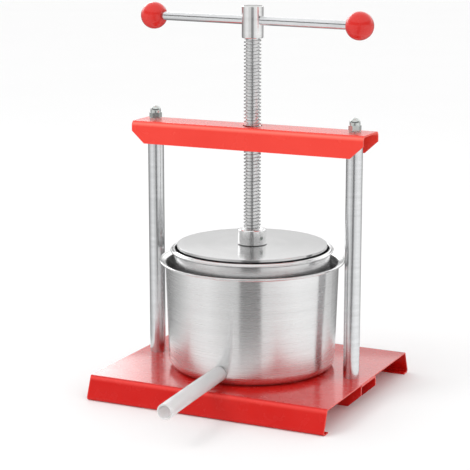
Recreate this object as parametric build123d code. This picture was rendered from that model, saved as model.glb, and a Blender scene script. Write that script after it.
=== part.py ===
from build123d import *
import math
import os

# A hand-driven cheese press. Millimetres, +Z up, origin on the ground under the screw,
# +X to the right of someone facing the outlet, -Y towards them.

# how far a cut runs past the faces it opens, and the small edge breaks
OVERRUN = 5.0
EDGE_BREAK = 0.6
STANDING = (Align.CENTER, Align.CENTER, Align.MIN)

# folded base plate
BASE_WIDTH = 300.0
BASE_TOP = 28.0
BASE_FLAT_DEPTH = 250.0
BASE_FOOT_CORNERS = 270.9
BASE_SHEET = 1.5
BASE_BEND = 2.6
BASE_LIP = 13.0

# channel section used under the base and as the crossbeam
CHANNEL_DEPTH = 48.0
CHANNEL_HEIGHT = 26.5
CHANNEL_SHEET = 2.0
CHANNEL_BEND = 4.5
END_CUT_LENGTH = 16.0
END_CUT_HEIGHT = 14.5
BEAM_LENGTH = 295.0
BEAM_TOP = 316.0

# posts and their tie rods
POST_SPACING = 256.0
POST_DIAMETER = 19.0
POST_BORE = 16.0
ROD_DIAMETER = 8.0
ROD_HOLE = 9.0
ROD_BOTTOM = 14.0
ROD_TOP = 328.0
NUT_BORE = 8.1
NUT_FLATS = 13.0
NUT_HEIGHT = 6.5
CAP_NUT_HEIGHT = 15.0
CAP_DOME_DIAMETER = 12.4
CAP_THREAD_DEPTH = 11.0
NUT_CORNER_REACH = 1.1
NUT_CORNER_DROP = 0.7
DOME_SINK = 0.5
SPRING_WASHER_DIAMETER = 14.8
SPRING_WASHER_BORE = 8.4
SPRING_WASHER_THICKNESS = 2.0
SPRING_WASHER_SPLIT = 1.2
WASHER_DIAMETER = 16.0
WASHER_THICKNESS = 1.6

# screw, its bush and the hub that carries the handle
SCREW_DIAMETER = 20.0
SCREW_ROOT = 15.5
SCREW_PITCH = 4.0
SCREW_CREST = 1.46
SCREW_FLANK = 0.6
BUSH_DIAMETER = 32.0
BUSH_HEIGHT = 24.0
BUSH_BORE = 20.1
BUSH_CHAMFER = 0.8
BEAM_SCREW_HOLE = 23.0
HUB_DIAMETER = 25.0
HUB_TOP = 455.0
HUB_BOTTOM = 418.0
HUB_SOCKET_DEPTH = 12.2
HUB_TOP_CHAMFER = 1.0
SPIGOT_SHORTFALL = 0.2
THREAD_RUNOUT = 1.0
SPIGOT_DIAMETER = 16.0
SPIGOT_FIT = 0.04

# sliding handle
BAR_HEIGHT = 438.0
BAR_TURN = -8.5
BAR_DIAMETER = 10.0
BAR_HOLE = 10.1
BAR_SHOULDER = 127.5
BAR_END_DIAMETER = 8.0
BAR_END_LENGTH = 16.0
KNOB_CENTRE = 141.5
KNOB_RADIUS = 16.0
KNOB_HOLE = 8.04
KNOB_HOLE_DEPTH = 17.0

# press plate with its swivel collar
PLATE_DIAMETER = 178.0
PLATE_THICKNESS = 3.0
PLATE_TOP = 175.5
PLATE_EDGE_BREAK = 0.3
COLLAR_DIAMETER = 33.0
COLLAR_HEIGHT = 18.0
COLLAR_BORE = 20.8
COLLAR_MOUTH = 1.6
COLLAR_FOOT_DIAMETER = 35.0
COLLAR_FOOT_HEIGHT = 1.0
SET_SCREW_LEVEL = 184.0
SET_SCREW_TURN = -23.0
SET_SCREW_DIAMETER = 5.0
SET_SCREW_HOLE = 5.04
SET_SCREW_SOCKET = 2.5
SET_SCREW_POINT = 3.4
SET_SCREW_TIP = 8.2
SET_SCREW_SHOULDER = 11.0
SET_SCREW_OUTER = 16.0
PAD_DIAMETER = 20.4
PAD_THICKNESS = 2.5
SCREW_TIP = 178.1
TIP_DIAMETER = 19.0
TIP_HEIGHT = 3.0
GROOVE_DIAMETER = 14.0
GROOVE_HEIGHT = 6.0

# outer pot, its outlet and the basket standing in it
POT_SHEET = 1.0
POT_FOOT_RADIUS = 98.7
POT_MOUTH_RADIUS = 103.0
POT_CORNER = 10.5
POT_RIM_RADIUS = 110.0
POT_RIM_BEAD = 1.3
POT_RIM_LEVEL = 156.7
POT_BEND_LEVEL = 154.4
SPOUT_LEVEL = 43.0
SPOUT_DIAMETER = 14.0
SPOUT_BORE = 12.0
SPOUT_HOLE = 14.04
SPOUT_INNER_END = 97.3
SPOUT_OUTER_END = 145.0
HOSE_DIAMETER = 18.0
HOSE_BORE = 14.1
HOSE_START = 100.5
HOSE_BREAK = 175.0
HOSE_END = 247.0
HOSE_DROOP = 1.0
HOSE_BEND = 1200.0
OUTLET_TURN = 3.0
BASKET_SHEET = 1.0
BASKET_FOOT_RADIUS = 91.5
BASKET_MOUTH_RADIUS = 92.1
BASKET_CORNER = 6.0
BASKET_RIM_RADIUS = 96.5
BASKET_RIM_BEAD = 1.2
BASKET_RIM_LEVEL = 168.8
BASKET_BEND_LEVEL = 173.4
RIM_BEND = 1.2
HOLE_DIAMETER = 5.0
HOLE_COUNT = 20
HOLE_ROWS = 6
HOLE_FIRST_ROW = 46.0
HOLE_ROW_PITCH = 17.0
FLOOR_HOLE_RINGS = ((30.0, 6), (60.0, 12))


def upright(diameter, low, high, x=0.0, y=0.0):
    """A solid cylinder standing between two heights."""
    return Pos(x, y, low) * Cylinder(diameter / 2, high - low, align=STANDING)


def hexagon(flats, low, high, x=0.0):
    """A hexagonal prism standing between two heights, flats facing front and back."""
    outline = RegularPolygon(flats / 2, 6, major_radius=False, rotation=30)
    return Pos(x, 0, low) * extrude(outline, high - low)


def ring(outer, inner, low, high, x=0.0):
    """An upright tube between two heights."""
    return upright(outer, low, high, x) - upright(inner, low - OVERRUN, high + OVERRUN, x)


def pair(make):
    """Two of the same piece, one on each post."""
    return Compound(children=[make(-POST_SPACING / 2), make(POST_SPACING / 2)])


def turned(outline):
    """A solid turned from an outline drawn as radius, height."""
    return revolve(Plane.XZ * make_face(Polyline(*outline, close=True)), Axis.Z)


def section_along_x(sketch, length):
    """A folded section, drawn as Y, Z, run from end to end along X."""
    return extrude(Plane.YZ * sketch.face(), length / 2, both=True)


def base_plate():
    half_top = BASE_FLAT_DEPTH / 2
    half_foot = BASE_FOOT_CORNERS / 2
    low = BASE_SHEET / 2
    high = BASE_TOP - BASE_SHEET / 2
    path = FilletPolyline(
        (-half_foot + BASE_LIP, low),
        (-half_foot, low),
        (-half_top, high),
        (half_top, high),
        (half_foot, low),
        (half_foot - BASE_LIP, low),
        radius=BASE_BEND,
    )
    plate = section_along_x(trace(path, BASE_SHEET), BASE_WIDTH)
    for x in (-POST_SPACING / 2, POST_SPACING / 2):
        plate -= upright(ROD_HOLE, BASE_TOP - OVERRUN, BASE_TOP + OVERRUN, x)
    return plate


def channel(length, top):
    """An inverted channel with its flanges cut back at both ends."""
    y = (CHANNEL_DEPTH - CHANNEL_SHEET) / 2
    high = top - CHANNEL_SHEET / 2
    low = top - CHANNEL_HEIGHT
    path = FilletPolyline((-y, low), (-y, high), (y, high), (y, low), radius=CHANNEL_BEND)
    body = section_along_x(trace(path, CHANNEL_SHEET), length)
    for side in (-1, 1):
        end = side * length / 2
        corner = Polyline(
            (end - side * END_CUT_LENGTH, low),
            (end, low + END_CUT_HEIGHT),
            (end + side * OVERRUN, low + END_CUT_HEIGHT),
            (end + side * OVERRUN, low - OVERRUN),
            (end - side * END_CUT_LENGTH, low - OVERRUN),
            close=True,
        )
        body -= extrude(Plane.XZ * make_face(corner), CHANNEL_DEPTH, both=True)
        body -= upright(ROD_HOLE, top - OVERRUN, top + OVERRUN, side * POST_SPACING / 2)
    return body


def base_channel():
    return channel(BASE_WIDTH, BASE_TOP - BASE_SHEET)


def crossbeam():
    hole = upright(BEAM_SCREW_HOLE, BEAM_TOP - OVERRUN, BEAM_TOP + OVERRUN)
    return channel(BEAM_LENGTH, BEAM_TOP) - hole


def post(x):
    return ring(POST_DIAMETER, POST_BORE, BASE_TOP, BEAM_TOP - CHANNEL_SHEET, x)


def tie_rod(x):
    return chamfer(upright(ROD_DIAMETER, ROD_BOTTOM, ROD_TOP, x).edges(), EDGE_BREAK)


def cap_nut(x):
    low = BEAM_TOP + SPRING_WASHER_THICKNESS
    shoulder = low + NUT_HEIGHT
    top = low + CAP_NUT_HEIGHT
    radius = CAP_DOME_DIAMETER / 2
    corner = NUT_FLATS / 2 + NUT_CORNER_REACH
    dome = upright(CAP_DOME_DIAMETER, shoulder - DOME_SINK, top - radius, x)
    dome += Pos(x, 0, top - radius) * Sphere(radius)
    skirt = turned(
        [
            (0, low),
            (NUT_FLATS / 2, low),
            (corner, low + NUT_CORNER_DROP),
            (corner, shoulder - NUT_CORNER_DROP),
            (NUT_FLATS / 2, shoulder),
            (0, shoulder),
        ]
    )
    body = (hexagon(NUT_FLATS, low, shoulder, x) & Pos(x, 0, 0) * skirt) + dome
    return body - upright(NUT_BORE, low - OVERRUN, low + CAP_THREAD_DEPTH, x)


def spring_washer(x):
    low = BEAM_TOP
    high = low + SPRING_WASHER_THICKNESS
    body = ring(SPRING_WASHER_DIAMETER, SPRING_WASHER_BORE, low, high, x)
    split = Box(SPRING_WASHER_SPLIT, SPRING_WASHER_DIAMETER, 2 * (high - low))
    return body - Pos(x, SPRING_WASHER_DIAMETER / 2, low) * split


def lower_washer(x):
    high = BASE_TOP - BASE_SHEET - CHANNEL_SHEET
    return ring(WASHER_DIAMETER, SPRING_WASHER_BORE, high - WASHER_THICKNESS, high, x)


def lower_nut(x):
    high = BASE_TOP - BASE_SHEET - CHANNEL_SHEET - WASHER_THICKNESS
    low = high - NUT_HEIGHT
    return hexagon(NUT_FLATS, low, high, x) - upright(NUT_BORE, low - OVERRUN, high + OVERRUN, x)


def screw_bush():
    high = BEAM_TOP - CHANNEL_SHEET
    body = ring(BUSH_DIAMETER, BUSH_BORE, high - BUSH_HEIGHT, high)
    return chamfer(body.edges().sort_by(Axis.Z)[:2], BUSH_CHAMFER)


def press_screw():
    """Tip disc, swivel groove, ringed thread and the spigot that enters the hub."""
    crest = SCREW_DIAMETER / 2
    root = SCREW_ROOT / 2
    disc_top = SCREW_TIP + TIP_HEIGHT
    start = disc_top + GROOVE_HEIGHT
    outline = [(0, SCREW_TIP), (TIP_DIAMETER / 2, SCREW_TIP), (TIP_DIAMETER / 2, disc_top)]
    outline += [(GROOVE_DIAMETER / 2, disc_top), (GROOVE_DIAMETER / 2, start)]
    turns = int((HUB_BOTTOM - start) / SCREW_PITCH)
    for turn in range(turns):
        z = start + turn * SCREW_PITCH
        outline += [
            (root, z),
            (crest, z + SCREW_FLANK),
            (crest, z + SCREW_FLANK + SCREW_CREST),
            (root, z + 2 * SCREW_FLANK + SCREW_CREST),
        ]
    spigot = SPIGOT_DIAMETER / 2
    spigot_top = HUB_BOTTOM + HUB_SOCKET_DEPTH - SPIGOT_SHORTFALL
    outline += [
        (root, HUB_BOTTOM - THREAD_RUNOUT),
        (spigot, HUB_BOTTOM - THREAD_RUNOUT),
        (spigot, spigot_top),
        (0, spigot_top),
    ]
    return turned(outline)


def along_bar(shape):
    """Places a piece drawn along X on the axis of the handle."""
    return Pos(0, 0, BAR_HEIGHT) * Rot(0, 0, BAR_TURN) * shape


def rod_along_x(diameter, start, end):
    return Pos(start, 0, 0) * Rot(0, 90, 0) * Cylinder(diameter / 2, end - start, align=STANDING)


def screw_hub():
    body = upright(HUB_DIAMETER, HUB_BOTTOM, HUB_TOP)
    body = chamfer(body.edges().sort_by(Axis.Z)[-1], HUB_TOP_CHAMFER)
    body = chamfer(body.edges().sort_by(Axis.Z)[0], EDGE_BREAK)
    socket_top = HUB_BOTTOM + HUB_SOCKET_DEPTH
    body -= upright(SPIGOT_DIAMETER + SPIGOT_FIT, HUB_BOTTOM - OVERRUN, socket_top)
    return body - along_bar(rod_along_x(BAR_HOLE, -HUB_DIAMETER, HUB_DIAMETER))


def handle_bar():
    end = BAR_SHOULDER + BAR_END_LENGTH
    bar = rod_along_x(BAR_DIAMETER, -BAR_SHOULDER, BAR_SHOULDER)
    return along_bar(bar + rod_along_x(BAR_END_DIAMETER, -end, end))


def knob(side):
    ball = Pos(KNOB_CENTRE, 0, 0) * Sphere(KNOB_RADIUS)
    ball &= Pos(BAR_SHOULDER + KNOB_RADIUS, 0, 0) * Box(*[2 * KNOB_RADIUS] * 3)
    ball -= rod_along_x(KNOB_HOLE, BAR_SHOULDER - OVERRUN, BAR_SHOULDER + KNOB_HOLE_DEPTH)
    return along_bar(ball if side > 0 else Rot(0, 0, 180) * ball)


def press_plate():
    body = upright(PLATE_DIAMETER, PLATE_TOP - PLATE_THICKNESS, PLATE_TOP)
    return chamfer(body.edges().filter_by(GeomType.CIRCLE), PLATE_EDGE_BREAK)


def around_collar(shape):
    """Places a piece drawn along X on the axis of the first set screw."""
    return Pos(0, 0, SET_SCREW_LEVEL) * Rot(0, 0, SET_SCREW_TURN) * shape


def press_collar():
    outer = COLLAR_DIAMETER / 2
    bore = COLLAR_BORE / 2
    foot = PLATE_TOP + COLLAR_FOOT_HEIGHT
    top = PLATE_TOP + COLLAR_HEIGHT
    outline = [
        (bore, PLATE_TOP),
        (COLLAR_FOOT_DIAMETER / 2, PLATE_TOP),
        (COLLAR_FOOT_DIAMETER / 2, foot),
        (outer, foot),
        (outer, top - EDGE_BREAK),
        (outer - EDGE_BREAK, top),
        (bore + COLLAR_MOUTH, top),
        (bore, top - COLLAR_MOUTH),
    ]
    reach = COLLAR_DIAMETER
    return turned(outline) - around_collar(rod_along_x(SET_SCREW_HOLE, -reach, reach))


def collar_set_screws():
    """Two dog-point screws, opposite each other, whose tips sit in the groove of the screw."""
    body = rod_along_x(SET_SCREW_DIAMETER, SET_SCREW_SHOULDER, SET_SCREW_OUTER)
    body += rod_along_x(SET_SCREW_POINT, SET_SCREW_TIP, SET_SCREW_SHOULDER)
    socket = extrude(RegularPolygon(SET_SCREW_SOCKET / 2, 6, major_radius=False), SET_SCREW_SOCKET)
    body -= Pos(SET_SCREW_OUTER - SET_SCREW_SOCKET, 0, 0) * Rot(0, 90, 0) * socket
    return Compound(children=[around_collar(body), around_collar(Rot(0, 0, 180) * body)])


def thrust_pad():
    return upright(PAD_DIAMETER, PLATE_TOP, PLATE_TOP + PAD_THICKNESS)


def vessel(foot_radius, mouth_radius, floor, sheet, corner, bend_level, rim_radius, rim_level, bead):
    """A tapered sheet vessel with a rounded foot and a turned-out rim ending in a bead."""
    half = sheet / 2
    rim = (rim_radius - bead, rim_level)
    bend = (mouth_radius - half, bend_level)
    middle = ((foot_radius + mouth_radius) / 2 - half, (floor + bend_level) / 2)
    foot = (foot_radius - half, floor + half)
    lower = FilletPolyline((0, floor + half), foot, middle, radius=corner)
    upper = FilletPolyline(middle, bend, rim, radius=RIM_BEND)
    outline = trace(Wire(lower.edges() + upper.edges()), sheet) + Pos(*rim) * Circle(bead)
    return revolve(Plane.XZ * outline.face(), Axis.Z)


def rod_along_outlet(diameter, start, end):
    rod = Rot(90, 0, 0) * Cylinder(diameter / 2, end - start, align=STANDING)
    return Rot(0, 0, OUTLET_TURN) * Pos(0, -start, SPOUT_LEVEL) * rod


def outer_pot():
    body = vessel(
        POT_FOOT_RADIUS,
        POT_MOUTH_RADIUS,
        BASE_TOP,
        POT_SHEET,
        POT_CORNER,
        POT_BEND_LEVEL,
        POT_RIM_RADIUS,
        POT_RIM_LEVEL,
        POT_RIM_BEAD,
    )
    return body - rod_along_outlet(SPOUT_HOLE, SPOUT_INNER_END - OVERRUN, SPOUT_OUTER_END)


def outlet_spout():
    body = rod_along_outlet(SPOUT_DIAMETER, SPOUT_INNER_END, SPOUT_OUTER_END)
    start = SPOUT_INNER_END - OVERRUN
    return body - rod_along_outlet(SPOUT_BORE, start, SPOUT_OUTER_END + OVERRUN)


def outlet_hose():
    path = FilletPolyline(
        (0, -HOSE_START, SPOUT_LEVEL),
        (0, -HOSE_BREAK, SPOUT_LEVEL),
        (0, -HOSE_END, SPOUT_LEVEL - HOSE_DROOP),
        radius=HOSE_BEND,
    )
    print("outlet_hose bend radius", HOSE_BEND, "length", round(path.length, 1))
    start = Plane(origin=(0, -HOSE_START, SPOUT_LEVEL), z_dir=(0, -1, 0))
    wall = Circle(HOSE_DIAMETER / 2) - Circle(HOSE_BORE / 2)
    return Rot(0, 0, OUTLET_TURN) * sweep(start * wall, path)


def inner_basket():
    body = vessel(
        BASKET_FOOT_RADIUS,
        BASKET_MOUTH_RADIUS,
        BASE_TOP + POT_SHEET,
        BASKET_SHEET,
        BASKET_CORNER,
        BASKET_BEND_LEVEL,
        BASKET_RIM_RADIUS,
        BASKET_RIM_LEVEL,
        BASKET_RIM_BEAD,
    )
    step = 360 / HOLE_COUNT
    across = rod_along_x(HOLE_DIAMETER, -2 * BASKET_FOOT_RADIUS, 2 * BASKET_FOOT_RADIUS)
    drills = []
    for row in range(HOLE_ROWS):
        z = HOLE_FIRST_ROW + row * HOLE_ROW_PITCH
        for index in range(HOLE_COUNT // 2):
            drills.append(Pos(0, 0, z) * Rot(0, 0, step * (index + row % 2 / 2)) * across)
    for radius, count in FLOOR_HOLE_RINGS:
        for index in range(count):
            angle = 2 * math.pi * index / count
            x, y = radius * math.cos(angle), radius * math.sin(angle)
            drills.append(upright(HOLE_DIAMETER, BASE_TOP, BASE_TOP + OVERRUN, x, y))
    return body - drills


PARTS = {
    "base_plate": base_plate,
    "base_channel": base_channel,
    "left_post": lambda: post(-POST_SPACING / 2),
    "right_post": lambda: post(POST_SPACING / 2),
    "left_tie_rod": lambda: tie_rod(-POST_SPACING / 2),
    "right_tie_rod": lambda: tie_rod(POST_SPACING / 2),
    "cap_nuts": lambda: pair(cap_nut),
    "spring_washers": lambda: pair(spring_washer),
    "lower_washers": lambda: pair(lower_washer),
    "lower_nuts": lambda: pair(lower_nut),
    "crossbeam": crossbeam,
    "screw_bush": screw_bush,
    "press_screw": press_screw,
    "screw_hub": screw_hub,
    "handle_bar": handle_bar,
    "left_knob": lambda: knob(-1),
    "right_knob": lambda: knob(1),
    "press_plate": press_plate,
    "press_collar": press_collar,
    "collar_set_screws": collar_set_screws,
    "thrust_pad": thrust_pad,
    "outer_pot": outer_pot,
    "outlet_spout": outlet_spout,
    "outlet_hose": outlet_hose,
    "inner_basket": inner_basket,
}

os.makedirs("parts", exist_ok=True)
for name, make in PARTS.items():
    export_step(make(), f"parts/{name}.step")
    print(name)
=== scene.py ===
import math
import bpy
import bmesh
import numpy as np
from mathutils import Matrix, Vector


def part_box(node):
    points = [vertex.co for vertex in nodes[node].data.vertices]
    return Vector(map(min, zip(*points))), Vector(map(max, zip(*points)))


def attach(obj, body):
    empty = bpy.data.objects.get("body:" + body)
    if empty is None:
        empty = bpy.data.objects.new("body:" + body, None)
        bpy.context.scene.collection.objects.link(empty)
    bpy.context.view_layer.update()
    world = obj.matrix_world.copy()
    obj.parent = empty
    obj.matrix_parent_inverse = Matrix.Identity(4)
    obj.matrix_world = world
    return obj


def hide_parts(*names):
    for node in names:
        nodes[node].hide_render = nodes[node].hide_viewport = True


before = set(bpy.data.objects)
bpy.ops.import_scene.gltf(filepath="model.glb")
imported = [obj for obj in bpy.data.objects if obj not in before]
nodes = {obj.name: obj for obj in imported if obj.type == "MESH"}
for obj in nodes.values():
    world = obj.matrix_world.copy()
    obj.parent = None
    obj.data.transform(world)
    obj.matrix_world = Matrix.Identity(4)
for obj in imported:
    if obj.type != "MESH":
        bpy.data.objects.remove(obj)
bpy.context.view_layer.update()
scene = bpy.context.scene

# camera: degrees turned to the right of the front and looking down, places in metres,
# lens and sensor in millimetres
cameraSetup = {
    "turn": 25.7,
    "down": 12.0,
    "distance": 1.9,
    "aside": -0.0203,
    "height": 0.1857,
    "lens": 123.1,
    "sensor": 36,
    "clip": (0.05, 60),
}


def placeCamera(c):
    turn, down = math.radians(c["turn"]), math.radians(c["down"])
    back = Vector((math.sin(turn) * math.cos(down), -math.cos(turn) * math.cos(down), math.sin(down)))
    right = Vector((math.cos(turn), math.sin(turn), 0))
    data = bpy.data.cameras.new("camera")
    data.lens = c["lens"]
    data.sensor_width = c["sensor"]
    data.clip_start, data.clip_end = c["clip"]
    eye = bpy.data.objects.new("camera", data)
    eye.location = right * c["aside"] + Vector((0, 0, c["height"])) + back * c["distance"]
    eye.rotation_mode = "QUATERNION"
    eye.rotation_quaternion = (-back).to_track_quat("-Z", "Y")
    scene.collection.objects.link(eye)
    scene.camera = eye


placeCamera(cameraSetup)
print("camera placed")


def addMesh(name, points, faces, smooth=True):
    mesh = bpy.data.meshes.new(name)
    mesh.from_pydata(points.tolist(), [], faces)
    mesh.polygons.foreach_set("use_smooth", np.full(len(mesh.polygons), smooth))
    mesh.update()
    obj = bpy.data.objects.new(name, mesh)
    scene.collection.objects.link(obj)
    return obj


def tidyMesh(obj, distance=1e-6):
    # merges doubles, drops empty faces and turns every face outwards
    work = bmesh.new()
    work.from_mesh(obj.data)
    bmesh.ops.remove_doubles(work, verts=work.verts, dist=distance)
    bmesh.ops.dissolve_degenerate(work, edges=work.edges, dist=distance)
    bmesh.ops.recalc_face_normals(work, faces=work.faces)
    work.to_mesh(obj.data)
    work.free()


def gridFaces(rows, cols, shift=0):
    # quads of a grid closed round its columns; the last column joins the first, shift rows on
    r, c = np.meshgrid(np.arange(rows - 1), np.arange(cols), indexing="ij")
    nextCol = (c + 1) % cols
    lift = np.where(c + 1 == cols, shift, 0)
    top = r + 1 + lift
    keep = top < rows
    a, b = r * cols + c, (r + lift) * cols + nextCol
    d, e = (r + 1) * cols + c, top * cols + nextCol
    return np.stack([a, b, e, d], axis=-1)[keep].tolist()


def giveMaterial(obj, material):
    obj.data.materials.clear()
    obj.data.materials.append(material)


def newMaterial(name):
    material = bpy.data.materials.new(name)
    material.use_nodes = True
    tree = material.node_tree
    tree.nodes.clear()
    out = tree.nodes.new("ShaderNodeOutputMaterial")
    shader = tree.nodes.new("ShaderNodeBsdfPrincipled")
    tree.links.new(shader.outputs[0], out.inputs[0])
    return material, tree, shader


def mathNode(tree, kind, a, b=None, clamp=False):
    node = tree.nodes.new("ShaderNodeMath")
    node.operation = kind
    node.use_clamp = clamp
    for socket, value in zip(node.inputs, (a, b)):
        if value is None:
            continue
        if isinstance(value, (int, float)):
            socket.default_value = value
        else:
            tree.links.new(value, socket)
    return node.outputs[0]


def mapRange(tree, value, fromLow, fromHigh, toLow, toHigh, smooth=False):
    node = tree.nodes.new("ShaderNodeMapRange")
    node.interpolation_type = "SMOOTHSTEP" if smooth else "LINEAR"
    for index, item in enumerate((value, fromLow, fromHigh, toLow, toHigh)):
        if isinstance(item, (int, float)):
            node.inputs[index].default_value = item
        else:
            tree.links.new(item, node.inputs[index])
    return node.outputs[0]


def mixColour(tree, factor, first, second, blend="MIX"):
    # a mix node's sockets for colours are 0 for the factor, 6 and 7 for the two, and 2 on the way out
    node = tree.nodes.new("ShaderNodeMix")
    node.data_type = "RGBA"
    node.blend_type = blend
    for index, item in ((0, factor), (6, first), (7, second)):
        if isinstance(item, (int, float)):
            node.inputs[index].default_value = item
        elif isinstance(item, tuple):
            node.inputs[index].default_value = (*item, 1)
        else:
            tree.links.new(item, node.inputs[index])
    return node.outputs[2]


# the part of a noise texture's output that most of it lies in
noiseSpan = (0.3, 0.7)


def noiseNode(tree, vector, scale, detail=2.0, roughness=0.5):
    node = tree.nodes.new("ShaderNodeTexNoise")
    node.inputs["Scale"].default_value = scale
    node.inputs["Detail"].default_value = detail
    node.inputs["Roughness"].default_value = roughness
    tree.links.new(vector, node.inputs["Vector"])
    return node.outputs["Fac"]


def stretched(tree, vector, stretch):
    node = tree.nodes.new("ShaderNodeVectorMath")
    node.operation = "MULTIPLY"
    tree.links.new(vector, node.inputs[0])
    node.inputs[1].default_value = stretch
    return node.outputs[0]


def objectPoint(tree):
    return tree.nodes.new("ShaderNodeTexCoord").outputs["Object"]


def newGroup(name, inputs, outputs):
    # inputs and outputs are (name, socket type, default); returns the tree with its two ends
    group = bpy.data.node_groups.new(name, "ShaderNodeTree")
    for label, kind, default in inputs:
        socket = group.interface.new_socket(label, in_out="INPUT", socket_type=kind)
        if default is not None:
            socket.default_value = default
    for label, kind in outputs:
        group.interface.new_socket(label, in_out="OUTPUT", socket_type=kind)
    return group, group.nodes.new("NodeGroupInput").outputs, group.nodes.new("NodeGroupOutput").inputs


def useGroup(tree, group, values):
    node = tree.nodes.new("ShaderNodeGroup")
    node.node_tree = group
    for name, value in values.items():
        if isinstance(value, (int, float, tuple)):
            node.inputs[name].default_value = value
        else:
            tree.links.new(value, node.inputs[name])
    return node.outputs


def bumpNode(tree, height, strength, distance):
    node = tree.nodes.new("ShaderNodeBump")
    node.inputs["Strength"].default_value = strength
    node.inputs["Distance"].default_value = distance
    tree.links.new(height, node.inputs["Height"])
    return node.outputs[0]


def buildPolishLines():
    # long fine scratches: two noises squeezed across the lines, plus slow patches of wear
    group, given, out = newGroup(
        "polishLines",
        [
            ("Vector", "NodeSocketVector", None),
            ("Fine", "NodeSocketFloat", 900.0),
            ("Coarse", "NodeSocketFloat", 220.0),
            ("Patch", "NodeSocketFloat", 14.0),
        ],
        [("Lines", "NodeSocketFloat"), ("Patches", "NodeSocketFloat")],
    )
    fine = group.nodes.new("ShaderNodeTexNoise")
    coarse = group.nodes.new("ShaderNodeTexNoise")
    patch = group.nodes.new("ShaderNodeTexNoise")
    for node, size, detail in ((fine, "Fine", 2), (coarse, "Coarse", 2), (patch, "Patch", 3)):
        node.inputs["Detail"].default_value = detail
        group.links.new(given["Vector"], node.inputs["Vector"])
        group.links.new(given[size], node.inputs["Scale"])
    fineShare = mathNode(group, "MULTIPLY", fine.outputs["Fac"], 0.6)
    lines = mathNode(group, "ADD", fineShare, mathNode(group, "MULTIPLY", coarse.outputs["Fac"], 0.4))
    group.links.new(lines, out["Lines"])
    group.links.new(patch.outputs["Fac"], out["Patches"])
    return group


dustCloud = {"upward": (0.6, 1.0), "scale": 45, "detail": 4, "rough": 0.6, "span": (0.45, 0.75)}


def buildDust():
    # a thin film that gathers on faces that look up
    group, given, out = newGroup(
        "dustFilm",
        [("Vector", "NodeSocketVector", None), ("Amount", "NodeSocketFloat", 0.1)],
        [("Mask", "NodeSocketFloat")],
    )
    normal = group.nodes.new("ShaderNodeNewGeometry").outputs["Normal"]
    split = group.nodes.new("ShaderNodeSeparateXYZ")
    group.links.new(normal, split.inputs[0])
    d = dustCloud
    up = mapRange(group, split.outputs["Z"], *d["upward"], 0.0, 1.0)
    noise = noiseNode(group, given["Vector"], d["scale"], d["detail"], d["rough"])
    cloud = mapRange(group, noise, *d["span"], 0.0, 1.0)
    mask = mathNode(group, "MULTIPLY", mathNode(group, "MULTIPLY", up, cloud), given["Amount"])
    group.links.new(mask, out["Mask"])
    return group


wearBreaks = {"scale": 260, "detail": 3, "rough": 0.6, "span": (0.35, 0.6), "share": (0.2, 1.0)}


def buildEdgeWear():
    # a worn band where the distance to an edge, in metres, is small, broken up by noise
    group, given, out = newGroup(
        "edgeWear",
        [
            ("Vector", "NodeSocketVector", None),
            ("Distance", "NodeSocketFloat", 1.0),
            ("Width", "NodeSocketFloat", 0.001),
        ],
        [("Mask", "NodeSocketFloat")],
    )
    near = mapRange(group, given["Distance"], 0.0, given["Width"], 1.0, 0.0, True)
    w = wearBreaks
    noise = noiseNode(group, given["Vector"], w["scale"], w["detail"], w["rough"])
    broken = mapRange(group, noise, *w["span"], *w["share"])
    group.links.new(mathNode(group, "MULTIPLY", near, broken, True), out["Mask"])
    return group


polishLines = buildPolishLines()
dustFilm = buildDust()
edgeWear = buildEdgeWear()


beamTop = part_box("crossbeam")[1][2]
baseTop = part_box("base_plate")[1][2]
# painted light and shade: one red powder coat in two copies, the base's colours darker and the beam's
# lighter for how light falls on each; pale is a painted highlight along the fold strip
powderCoats = {
    "redBaseShaded": {
        "deep": (0.55, 0.006, 0.004),
        "light": (0.63, 0.012, 0.008),
        "pale": (0.80, 0.060, 0.050),
        "strip": (baseTop - 0.0060, baseTop - 0.0018, baseTop - 0.0002),
        "half": 0.150,
        "sheen": 1.0,
    },
    "redBeamLit": {
        "deep": (0.79, 0.040, 0.025),
        "light": (0.84, 0.052, 0.034),
        "pale": (0.98, 0.17, 0.13),
        "strip": (beamTop - 0.0065, beamTop - 0.0028, beamTop - 0.0004),
        "half": 0.1475,
        "sheen": 0.45,
    },
}
paintFinish = {
    "worn": (0.86, 0.13, 0.10),
    "wornWidth": 0.0014,
    "wornShare": 0.5,
    "dust": (0.7, 0.6, 0.58),
    "dustAmount": 0.03,
    "rough": (0.22, 0.30),
    "patchScale": 9,
    "roughScale": 60,
    "peelScale": 420,
    "peelDepth": 0.000006,
    "peelStrength": 0.2,
    "index": 1.5,
    "specular": 0.25,
    "coatBlend": 0.5,
    "coatFacing": (0.60, 0.78),
    "coatRough": 0.04,
    "coatIndex": 1.6,
}


def distanceToPlanes(tree, planes):
    # the smallest of |coordinate - place| over the stated (axis, place) planes, both signs of place
    split = tree.nodes.new("ShaderNodeSeparateXYZ")
    tree.links.new(objectPoint(tree), split.inputs[0])
    best = None
    for axis, place in planes:
        size = mathNode(tree, "ABSOLUTE", split.outputs[axis])
        gap = mathNode(tree, "ABSOLUTE", mathNode(tree, "SUBTRACT", size, place))
        best = gap if best is None else mathNode(tree, "MINIMUM", best, gap)
    return best


def bendHighlight(tree, point, strip):
    # painted highlight on a fold: 1 along the middle of the strip of heights, fading to 0 at its ends
    split = tree.nodes.new("ShaderNodeSeparateXYZ")
    tree.links.new(point, split.inputs[0])
    low, middle, high = strip
    rise = mapRange(tree, split.outputs["Z"], low, middle, 0.0, 1.0, True)
    fall = mapRange(tree, split.outputs["Z"], middle, high, 1.0, 0.0, True)
    return mathNode(tree, "MULTIPLY", rise, fall)


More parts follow.
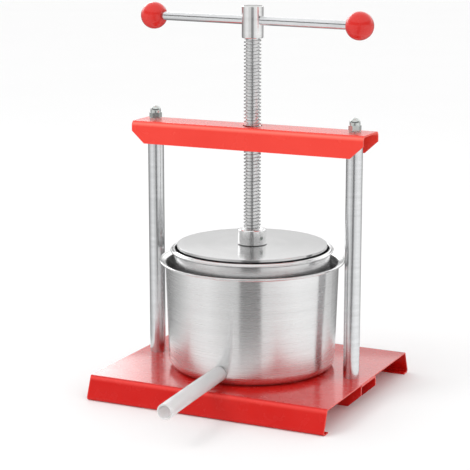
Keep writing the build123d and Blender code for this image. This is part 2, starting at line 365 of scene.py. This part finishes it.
def makePowderCoat(name):
    p, f = powderCoats[name], paintFinish
    material, tree, shader = newMaterial(name)
    point = objectPoint(tree)
    patches = mapRange(tree, noiseNode(tree, point, f["patchScale"], 3), *noiseSpan, 0.0, 1.0)
    base = mixColour(tree, patches, p["deep"], p["light"])
    ends = distanceToPlanes(tree, (("X", p["half"]),))
    wear = useGroup(tree, edgeWear, {"Vector": point, "Distance": ends, "Width": f["wornWidth"]})
    dust = useGroup(tree, dustFilm, {"Vector": point, "Amount": f["dustAmount"]})
    # painted highlight: the pale colour along the strip under the top fold stands in for the light the
    # bend catches
    base = mixColour(tree, bendHighlight(tree, point, p["strip"]), base, p["pale"])
    worn = mixColour(tree, mathNode(tree, "MULTIPLY", wear["Mask"], f["wornShare"]), base, f["worn"])
    tree.links.new(mixColour(tree, dust["Mask"], worn, f["dust"]), shader.inputs["Base Color"])
    rough = mapRange(tree, noiseNode(tree, point, f["roughScale"], 4), *noiseSpan, *f["rough"])
    tree.links.new(mathNode(tree, "ADD", rough, dust["Mask"]), shader.inputs["Roughness"])
    facing = tree.nodes.new("ShaderNodeLayerWeight")
    facing.inputs["Blend"].default_value = f["coatBlend"]
    # the clear coat only mirrors where the paint is seen at a low angle
    gloss = mapRange(tree, facing.outputs["Facing"], *f["coatFacing"], 0.0, p["sheen"], True)
    tree.links.new(gloss, shader.inputs["Coat Weight"])
    shader.inputs["Coat Roughness"].default_value = f["coatRough"]
    shader.inputs["Coat IOR"].default_value = f["coatIndex"]
    shader.inputs["IOR"].default_value = f["index"]
    shader.inputs["Specular IOR Level"].default_value = f["specular"]
    peel = noiseNode(tree, point, f["peelScale"], 2)
    tree.links.new(bumpNode(tree, peel, f["peelStrength"], f["peelDepth"]), shader.inputs["Normal"])
    return material


# steel finishes: colour, roughness, stretch that squeezes the noise across the polishing lines,
# depth of the lines, and how far the turned surface smears a reflection up and down
steels = {
    "postSteel": ((0.78, 0.79, 0.80), (0.18, 0.26), (1, 1, 14), 0.000002, 0.4),
    "barSteel": ((0.78, 0.79, 0.80), (0.16, 0.24), (3, 3, 3), 0.000002, 0.0),
    "hubSteel": ((0.86, 0.86, 0.86), (0.12, 0.20), (1, 1, 10), 0.000003, 0.4),
    "screwSteel": ((0.74, 0.74, 0.74), (0.20, 0.28), (2, 2, 8), 0.000003, 0.2),
    "collarSteel": ((0.98, 0.98, 0.98), (0.12, 0.18), (1, 1, 12), 0.000002, 0.4),
    "potSteel": ((0.84, 0.84, 0.84), (0.20, 0.29), (0.05, 0.05, 4), 0.000012, 0.9),
    "basketSteel": ((0.76, 0.76, 0.76), (0.18, 0.28), (0.06, 0.06, 4), 0.000004, 0.7),
    "plateSteel": ((0.62, 0.62, 0.62), (0.13, 0.19), (4, 0.05, 1), 0.000002, 0.5),
    "spoutSteel": ((0.70, 0.71, 0.72), (0.15, 0.28), (3, 1, 3), 0.000003, 0.0),
    "zincPlate": ((0.66, 0.69, 0.67), (0.12, 0.24), (1, 1, 1), 0.000006, 0.0),
}
steelLines = {
    "fine": 900.0,
    "coarse": 220.0,
    "patch": 14.0,
    "dark": 0.90,
    "span": (0.35, 0.65),
    "strength": 0.5,
    "rotation": 0.25,
}
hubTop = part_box("screw_hub")[1][2]
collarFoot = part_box("press_collar")[0][2]
# painted shade: the hub's top face is greyed for the darker room it mirrors, and a dark band at the
# collar's foot is a painted contact shadow; levels are the height where the grey starts and the height
# where it is full
hubTopShade = {"levels": (hubTop - 0.0004, hubTop - 0.0001), "grey": (0.42, 0.42, 0.42)}
collarFootShadow = {"levels": (collarFoot + 0.0012, collarFoot + 0.0006), "grey": (0.16, 0.16, 0.16)}


def roundTheAxis(tree, point):
    # distance from the upright axis in place of x, so that lines drawn along it become rings
    flat = stretched(tree, point, (1, 1, 0))
    size = tree.nodes.new("ShaderNodeVectorMath")
    size.operation = "LENGTH"
    tree.links.new(flat, size.inputs[0])
    split = tree.nodes.new("ShaderNodeSeparateXYZ")
    tree.links.new(point, split.inputs[0])
    join = tree.nodes.new("ShaderNodeCombineXYZ")
    tree.links.new(size.outputs["Value"], join.inputs["X"])
    tree.links.new(split.outputs["Y"], join.inputs["Y"])
    tree.links.new(split.outputs["Z"], join.inputs["Z"])
    return join.outputs[0]


def shadeLevels(tree, base, levels, colour):
    # from the first height to the second the base colour turns into the given colour
    split = tree.nodes.new("ShaderNodeSeparateXYZ")
    tree.links.new(objectPoint(tree), split.inputs[0])
    share = mapRange(tree, split.outputs["Z"], *levels, 0.0, 1.0)
    return mixColour(tree, share, base, colour)


def makeSteel(name):
    colour, roughness, stretch, depth, turned = steels[name]
    material, tree, shader = newMaterial(name)
    point = objectPoint(tree)
    if name == "plateSteel":
        point = roundTheAxis(tree, point)
    drawn = stretched(tree, point, stretch)
    lines = steelLines
    given = {"Vector": drawn, "Fine": lines["fine"], "Coarse": lines["coarse"], "Patch": lines["patch"]}
    marks = useGroup(tree, polishLines, given)
    tint = mapRange(tree, marks["Patches"], *noiseSpan, 0.0, 1.0)
    dark = tuple(v * lines["dark"] for v in colour)
    base = mixColour(tree, tint, dark, colour)
    if name == "hubSteel":
        # painted shade: the hub's top face greyed to stand in for the darker room it mirrors
        base = shadeLevels(tree, base, hubTopShade["levels"], hubTopShade["grey"])
    if name == "collarSteel":
        # painted contact shadow: a dark band at the collar's foot
        base = shadeLevels(tree, base, collarFootShadow["levels"], collarFootShadow["grey"])
    tree.links.new(base, shader.inputs["Base Color"])
    rough = mapRange(tree, marks["Lines"], *lines["span"], *roughness)
    tree.links.new(rough, shader.inputs["Roughness"])
    tree.links.new(bumpNode(tree, marks["Lines"], lines["strength"], depth), shader.inputs["Normal"])
    shader.inputs["Metallic"].default_value = 1.0
    if turned:
        shader.inputs["Anisotropic"].default_value = turned
        shader.inputs["Anisotropic Rotation"].default_value = lines["rotation"]
        tangent = tree.nodes.new("ShaderNodeTangent")
        tangent.direction_type = "RADIAL"
        tangent.axis = "Z"
        tree.links.new(tangent.outputs[0], shader.inputs["Tangent"])
    return material


turnedBrass = {
    "dark": (0.52, 0.36, 0.14),
    "bright": (0.74, 0.56, 0.28),
    "stretch": (1, 1, 9),
    "rough": (0.22, 0.4),
    "strength": 0.4,
    "depth": 0.000008,
}


def makeBrass():
    p = turnedBrass
    material, tree, shader = newMaterial("turnedBrass")
    point = objectPoint(tree)
    marks = useGroup(tree, polishLines, {"Vector": stretched(tree, point, p["stretch"])})
    base = mixColour(tree, marks["Patches"], p["dark"], p["bright"])
    tree.links.new(base, shader.inputs["Base Color"])
    tree.links.new(mapRange(tree, marks["Lines"], *noiseSpan, *p["rough"]), shader.inputs["Roughness"])
    tree.links.new(bumpNode(tree, marks["Lines"], p["strength"], p["depth"]), shader.inputs["Normal"])
    shader.inputs["Metallic"].default_value = 1.0
    return material


knobPlastic = {
    "colour": (0.70, 0.024, 0.018),
    "deep": (0.60, 0.016, 0.012),
    "cloudScale": 40,
    "rough": (0.22, 0.30),
    "roughScale": 150,
    "bumpScale": 300,
    "strength": 0.2,
    "depth": 0.000005,
    "specular": 0.3,
    "coat": 0.4,
    "coatRough": 0.08,
}


def makeKnobPlastic():
    p = knobPlastic
    material, tree, shader = newMaterial("knobPlastic")
    point = objectPoint(tree)
    cloud = noiseNode(tree, point, p["cloudScale"], 3)
    tree.links.new(mixColour(tree, cloud, p["deep"], p["colour"]), shader.inputs["Base Color"])
    rough = mapRange(tree, noiseNode(tree, point, p["roughScale"], 4), *noiseSpan, *p["rough"])
    tree.links.new(rough, shader.inputs["Roughness"])
    fine = noiseNode(tree, point, p["bumpScale"], 2)
    tree.links.new(bumpNode(tree, fine, p["strength"], p["depth"]), shader.inputs["Normal"])
    shader.inputs["Specular IOR Level"].default_value = p["specular"]
    shader.inputs["Coat Weight"].default_value = p["coat"]
    shader.inputs["Coat Roughness"].default_value = p["coatRough"]
    return material


hosePlastic = {
    "colour": (1.0, 1.0, 1.0),
    "milky": (0.97, 0.97, 0.97),
    "stretch": (3, 0.6, 3),
    "cloudScale": 60,
    "rough": (0.42, 0.52),
    "coat": 0.3,
    "coatRough": 0.2,
    "index": 1.42,
    "clear": 0.55,
}


def makeHosePlastic():
    p = hosePlastic
    material, tree, shader = newMaterial("hosePlastic")
    point = objectPoint(tree)
    cloud = noiseNode(tree, stretched(tree, point, p["stretch"]), p["cloudScale"], 3)
    tree.links.new(mixColour(tree, cloud, p["milky"], p["colour"]), shader.inputs["Base Color"])
    tree.links.new(mapRange(tree, cloud, *noiseSpan, *p["rough"]), shader.inputs["Roughness"])
    shader.inputs["Coat Weight"].default_value = p["coat"]
    shader.inputs["Coat Roughness"].default_value = p["coatRough"]
    shader.inputs["IOR"].default_value = p["index"]
    shader.inputs["Transmission Weight"].default_value = p["clear"]
    return material


redBaseShaded = makePowderCoat("redBaseShaded")
redBeamLit = makePowderCoat("redBeamLit")
finishes = {name: makeSteel(name) for name in steels}
brass = makeBrass()
knobRed = makeKnobPlastic()
hoseClear = makeHosePlastic()
print("materials made")

wearsFinish = {
    "base_plate": redBaseShaded,
    "base_channel": redBaseShaded,
    "crossbeam": redBeamLit,
    "left_post": finishes["postSteel"],
    "right_post": finishes["postSteel"],
    "left_tie_rod": finishes["zincPlate"],
    "right_tie_rod": finishes["zincPlate"],
    "cap_nuts": finishes["zincPlate"],
    "spring_washers": finishes["zincPlate"],
    "lower_washers": finishes["zincPlate"],
    "lower_nuts": finishes["zincPlate"],
    "screw_bush": brass,
    "thrust_pad": brass,
    "press_screw": finishes["screwSteel"],
    "screw_hub": finishes["hubSteel"],
    "handle_bar": finishes["barSteel"],
    "left_knob": knobRed,
    "right_knob": knobRed,
    "press_plate": finishes["plateSteel"],
    "press_collar": finishes["collarSteel"],
    "collar_set_screws": finishes["zincPlate"],
    "outer_pot": finishes["potSteel"],
    "inner_basket": finishes["basketSteel"],
    "outlet_spout": finishes["spoutSteel"],
    "outlet_hose": hoseClear,
}
for name, material in wearsFinish.items():
    giveMaterial(nodes[name], material)

# the hose is a stiff free stub pushed over the spout
hose = {
    "route": ((0, -0.1005, 0.043), (0, -0.175, 0.043), (0, -0.247, 0.042)),
    "turn": 3.0,
    "order": 3,
    "resolution": 16,
    "outer": 0.009,
    "inner": 0.00705,
    "round": 0.0006,
    "lipSteps": 5,
    "rows": 30,
    "sides": 64,
}


def hoseRoute(h):
    turn = math.radians(h["turn"])
    return [(-y * math.sin(turn), y * math.cos(turn), z) for x, y, z in h["route"]]


def splinePoints(name, route, order, resolution):
    # the points of a smooth curve that has the route as its control points
    curve = bpy.data.curves.new(name, "CURVE")
    curve.dimensions = "3D"
    curve.resolution_u = resolution
    spline = curve.splines.new("NURBS")
    spline.points.add(len(route) - 1)
    for point, place in zip(spline.points, route):
        point.co = (*place, 1)
    spline.order_u = order
    spline.use_endpoint_u = True
    obj = bpy.data.objects.new(name, curve)
    scene.collection.objects.link(obj)
    mesh = bpy.data.meshes.new_from_object(obj)
    points = np.array([v.co[:] for v in mesh.vertices])
    bpy.data.meshes.remove(mesh)
    bpy.data.objects.remove(obj)
    return points


def makeHose(h):
    # a wall outline of radius against distance along, carried round and along the path
    path = splinePoints("hosePath", hoseRoute(h), h["order"], h["resolution"])
    steps = np.linalg.norm(np.diff(path, axis=0), axis=1)
    along = np.concatenate([[0], np.cumsum(steps)])
    length = along[-1]
    r = h["round"]
    turn = np.linspace(0, math.pi / 2, h["lipSteps"])
    # the outline runs out along the outside, round the lip, and back along the bore
    lipOut = np.stack([length - r + r * np.sin(turn), h["outer"] - r + r * np.cos(turn)], 1)
    lipIn = np.stack([length - r + r * np.cos(turn), h["inner"] + r - r * np.sin(turn)], 1)
    body = np.linspace(r, length - r, h["rows"])[1:-1]
    startOut = np.stack([r - r * np.cos(turn), h["outer"] - r + r * np.sin(turn)], 1)
    startIn = np.stack([r - r * np.sin(turn), h["inner"] + r - r * np.cos(turn)], 1)
    outline = np.concatenate(
        [
            startOut,
            np.stack([body, np.full_like(body, h["outer"])], 1),
            lipOut,
            lipIn,
            np.stack([body[::-1], np.full_like(body, h["inner"])], 1),
            startIn,
        ]
    )
    tangent = np.gradient(path, along, axis=0)
    centre = np.stack([np.interp(outline[:, 0], along, path[:, k]) for k in range(3)], 1)
    forward = np.stack([np.interp(outline[:, 0], along, tangent[:, k]) for k in range(3)], 1)
    forward /= np.linalg.norm(forward, axis=1, keepdims=True)
    side = np.cross(forward, (0.0, 0.0, 1.0))
    side /= np.linalg.norm(side, axis=1, keepdims=True)
    up = np.cross(side, forward)
    angle = np.linspace(0, 2 * math.pi, h["sides"], endpoint=False)
    across, upward = np.cos(angle)[None, :, None], np.sin(angle)[None, :, None]
    ring = across * side[:, None, :] + upward * up[:, None, :]
    points = centre[:, None, :] + outline[:, 1][:, None, None] * ring
    rows = len(outline)
    faces = gridFaces(rows, h["sides"])
    col = np.arange(h["sides"])
    last = (rows - 1) * h["sides"]
    after = (col + 1) % h["sides"]
    faces += np.stack([last + col, last + after, after, col], -1).tolist()
    obj = addMesh("hoseTube", points.reshape(-1, 3), faces)
    tidyMesh(obj)
    giveMaterial(obj, hoseClear)
    return obj, path, float(length)


hoseTube, hosePath, hoseLength = makeHose(hose)
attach(hoseTube, "vessel")
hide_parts("outlet_hose")
print("hose made", round(hoseLength, 4))

# the press screw has a real helical thread in place of the rings
# its outline pairs a share of the pitch with 0 at the root and 1 at the crest,
# and tip and end pair a radius with a height
screw = {
    "crest": 0.010,
    "root": 0.00775,
    "pitch": 0.004,
    "outline": ((0.0, 0), (0.10, 0), (0.235, 1), (0.25, 1), (0.60, 1), (0.615, 1), (0.75, 0), (0.87, 0)),
    "low": 0.1872,
    "high": 0.4170,
    "columns": 96,
    "smoothTo": 38,
    "merge": 2e-6,
    "tip": (
        (0.0, 0.1781),
        (0.0092, 0.1781),
        (0.0095, 0.1784),
        (0.0095, 0.1808),
        (0.0092, 0.1811),
        (0.0070, 0.1811),
        (0.0070, 0.1872),
    ),
    "end": ((0.0080, 0.4170), (0.0080, 0.4300), (0.0, 0.4300)),
}


def latheRows(outline, columns):
    # each outline pair of radius and height carried round the Z axis
    outline = np.array(outline, float)
    angle = np.linspace(0, 2 * math.pi, columns, endpoint=False)
    r, z = outline[:, :1], outline[:, 1:]
    return np.stack([r * np.cos(angle), r * np.sin(angle), z + 0 * angle], -1)


def makeScrew(s):
    # rows follow the helix: height = (row + angle / full turn) * pitch, radius from the outline
    # of one pitch; it starts below the low end, has turns to spare, and is cut level at both ends
    cols = s["columns"]
    place, level = np.array(s["outline"], float).T
    per = len(place)
    turns = int(math.ceil((s["high"] - s["low"]) / s["pitch"])) + 2
    start = s["low"] - s["pitch"] * 1.5
    base = (np.arange(turns)[:, None] + place[None, :]).reshape(-1)
    radius = np.tile(s["root"] + (s["crest"] - s["root"]) * level, turns)
    angle = np.linspace(0, 2 * math.pi, cols, endpoint=False)
    z = start + (base[:, None] + angle[None, :] / (2 * math.pi)) * s["pitch"]
    r = np.repeat(radius[:, None], cols, axis=1)
    outside = (z < s["low"]) | (z > s["high"])
    r = np.where(outside, s["root"], r)
    z = np.clip(z, s["low"], s["high"])
    points = np.stack([r * np.cos(angle), r * np.sin(angle), z], -1).reshape(-1, 3)
    faces = gridFaces(len(base), cols, shift=per)
    tip = latheRows(s["tip"] + ((s["root"], s["low"]),), cols)
    end = latheRows(((s["root"], s["high"]),) + s["end"], cols)
    count = len(points)
    tipFaces = (np.array(gridFaces(len(tip), cols)) + count).tolist()
    count += tip.shape[0] * cols
    endFaces = (np.array(gridFaces(len(end), cols)) + count).tolist()
    points = np.concatenate([points, tip.reshape(-1, 3), end.reshape(-1, 3)])
    obj = addMesh("screwThread", points, faces + tipFaces + endFaces)
    tidyMesh(obj, s["merge"])
    giveMaterial(obj, finishes["screwSteel"])
    return obj


screwThread = makeScrew(screw)
screwThread.data.set_sharp_from_angle(angle=math.radians(screw["smoothTo"]))
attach(screwThread, "screw")
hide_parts("press_screw")
print("screw made", len(screwThread.data.polygons))

# the studio is a pale floor in white surroundings, with cards that only polished surfaces see
studio = {
    "floor": 12.0,
    "floorLines": 9,
    "floorDrop": 0.0002,
    "floorColour": (0.93, 0.93, 0.93),
    "floorShade": 0.985,
    "floorCloud": 3,
    "floorRough": 0.9,
    "floorSpecular": 0.1,
    "keyPlace": (-1.2, -1.6, 2.2),
    "keyTarget": (0, 0, 0.15),
    "keySize": 1.2,
    "keyPower": 14,
    "world": 1.05,
    "cardStep": 0.5,
    "cardLift": 0.0004,
    "tableInner": 0.27,
    "tableRings": (0.6, 1.0),
    "tableOuter": 1.6,
    "tableTop": 0.40,
    "roomRadius": 3.0,
    "hubLevels": (0.45, 0.695),
    "beamLevels": (0.705, 0.772),
    "plateLevels": (0.782, 0.885),
    "baseLevels": (0.895, 2.0),
    "roomRise": 0.2,
}
# brightness of what polished surfaces see, against degrees round from the front, + to the right:
# the table with the cards that stand on it, then the room at the levels that the hub's top,
# the beam's top, the press plate and the base mirror
tableTones = (
    (-180, 0.25), (-132, 0.20), (-108, 0.30), (-80, 0.55), (-55, 0.88), (-30, 0.95), (-10, 0.74),
    (10, 0.66), (10.6, 0.23), (35.4, 0.23), (36, 0.78), (60, 0.94), (80, 1.05), (116, 1.0),
    (138, 0.70), (170, 0.30), (180, 0.25),
)
hubTones = ((-180, 0.4), (-110, 0.4), (-90, 0.9), (0, 0.9), (110, 0.9), (130, 0.4), (180, 0.4))
beamTones = ((-180, 0.95), (-110, 0.95), (-90, 0.9), (0, 0.9), (110, 0.9), (180, 0.95))
plateTones = (
    (-180, 0.66), (-100, 0.66), (-60, 1.1), (-20, 1.0), (2, 0.8), (5, 0.12), (38, 0.12),
    (42, 0.9), (84, 1.0), (110, 0.66), (180, 0.66),
)
baseTones = (
    (-180, 1.6), (-160, 1.5), (-149, 1.6), (-146, 4.2), (-125, 3.8), (-95, 1.4), (-75, 0.2), (0, 0.05),
    (90, 0.1), (112, 0.3), (135, 1.2), (180, 1.6),
)


def makeFloor(s):
    # a flat square grid just under the feet: x and y evenly spaced, height constant
    size, lines = s["floor"], s["floorLines"]
    grid = np.linspace(-size, size, lines)
    x, y = np.meshgrid(grid, grid)
    points = np.stack([x, y, 0 * x - s["floorDrop"]], -1).reshape(-1, 3)
    r, c = np.meshgrid(np.arange(lines - 1), np.arange(lines - 1), indexing="ij")
    a = (r * lines + c).reshape(-1)
    obj = addMesh("floor", points, np.stack([a, a + 1, a + lines + 1, a + lines], -1).tolist())
    material, tree, shader = newMaterial("paleFloor")
    cloud = noiseNode(tree, objectPoint(tree), s["floorCloud"], 3)
    light = s["floorColour"]
    shade = tuple(v * s["floorShade"] for v in light)
    tree.links.new(mixColour(tree, cloud, shade, light), shader.inputs["Base Color"])
    shader.inputs["Roughness"].default_value = s["floorRough"]
    shader.inputs["Specular IOR Level"].default_value = s["floorSpecular"]
    giveMaterial(obj, material)


def makeCards(s):
    # the cards are seen in reflections only: hidden from the camera, and they give no diffuse light
    # an annulus on the table that turns up into a wall, steps out to the room and rises again:
    # radius and height run along the rows, azimuth round them, with a tone at every point
    degrees = np.arange(-180, 180, s["cardStep"])
    angle = np.radians(degrees)
    bands = (tableTones, hubTones, beamTones, plateTones, baseTones)
    table, hub, beam, plate, base = (np.interp(degrees, *np.array(tones, float).T) for tones in bands)
    edge, room = s["tableOuter"], s["roomRadius"]
    rows = [(r, s["cardLift"], table) for r in (s["tableInner"], *s["tableRings"], edge)]
    rows.append((edge, s["tableTop"], table))
    levels = (("hubLevels", hub), ("beamLevels", beam), ("plateLevels", plate), ("baseLevels", base))
    for name, tone in levels:
        rows += [(room, level, tone) for level in s[name]]
    rows.append((room, s["baseLevels"][1] + s["roomRise"], np.ones_like(base)))
    ring = np.stack([np.sin(angle), -np.cos(angle), angle * 0], -1)
    points = np.concatenate([ring * r + (0, 0, z) for r, z, tone in rows])
    tone = np.concatenate([tone for r, z, tone in rows])
    obj = addMesh("lightCards", points, gridFaces(len(rows), len(angle)), smooth=False)
    layer = obj.data.color_attributes.new("tone", "FLOAT_COLOR", "POINT")
    values = np.ones((len(points), 4))
    values[:, :3] = tone[:, None]
    layer.data.foreach_set("color", values.reshape(-1))
    material = bpy.data.materials.new("cardGlow")
    material.use_nodes = True
    tree = material.node_tree
    tree.nodes.clear()
    out = tree.nodes.new("ShaderNodeOutputMaterial")
    glow = tree.nodes.new("ShaderNodeEmission")
    read = tree.nodes.new("ShaderNodeVertexColor")
    read.layer_name = "tone"
    tree.links.new(read.outputs["Color"], glow.inputs["Color"])
    tree.links.new(glow.outputs[0], out.inputs[0])
    giveMaterial(obj, material)
    obj.visible_camera = False
    obj.visible_diffuse = False
    obj.visible_shadow = False
    obj.visible_transmission = False
    obj.visible_volume_scatter = False


def addAreaLight(name, place, target, size, power):
    data = bpy.data.lights.new(name, "AREA")
    data.shape = "DISK"
    data.size = size
    data.energy = power
    lamp = bpy.data.objects.new(name, data)
    lamp.location = place
    lamp.rotation_mode = "QUATERNION"
    lamp.rotation_quaternion = (Vector(target) - Vector(place)).to_track_quat("-Z", "Y")
    lamp.visible_glossy = False
    scene.collection.objects.link(lamp)


world = bpy.data.worlds.new("studioAir")
world.use_nodes = True
world.node_tree.nodes["Background"].inputs[0].default_value = (1, 1, 1, 1)
world.node_tree.nodes["Background"].inputs[1].default_value = studio["world"]
scene.world = world
makeFloor(studio)
makeCards(studio)
addAreaLight("keyLight", studio["keyPlace"], studio["keyTarget"], studio["keySize"], studio["keyPower"])
scene.view_settings.view_transform = "Standard"
print("studio made")
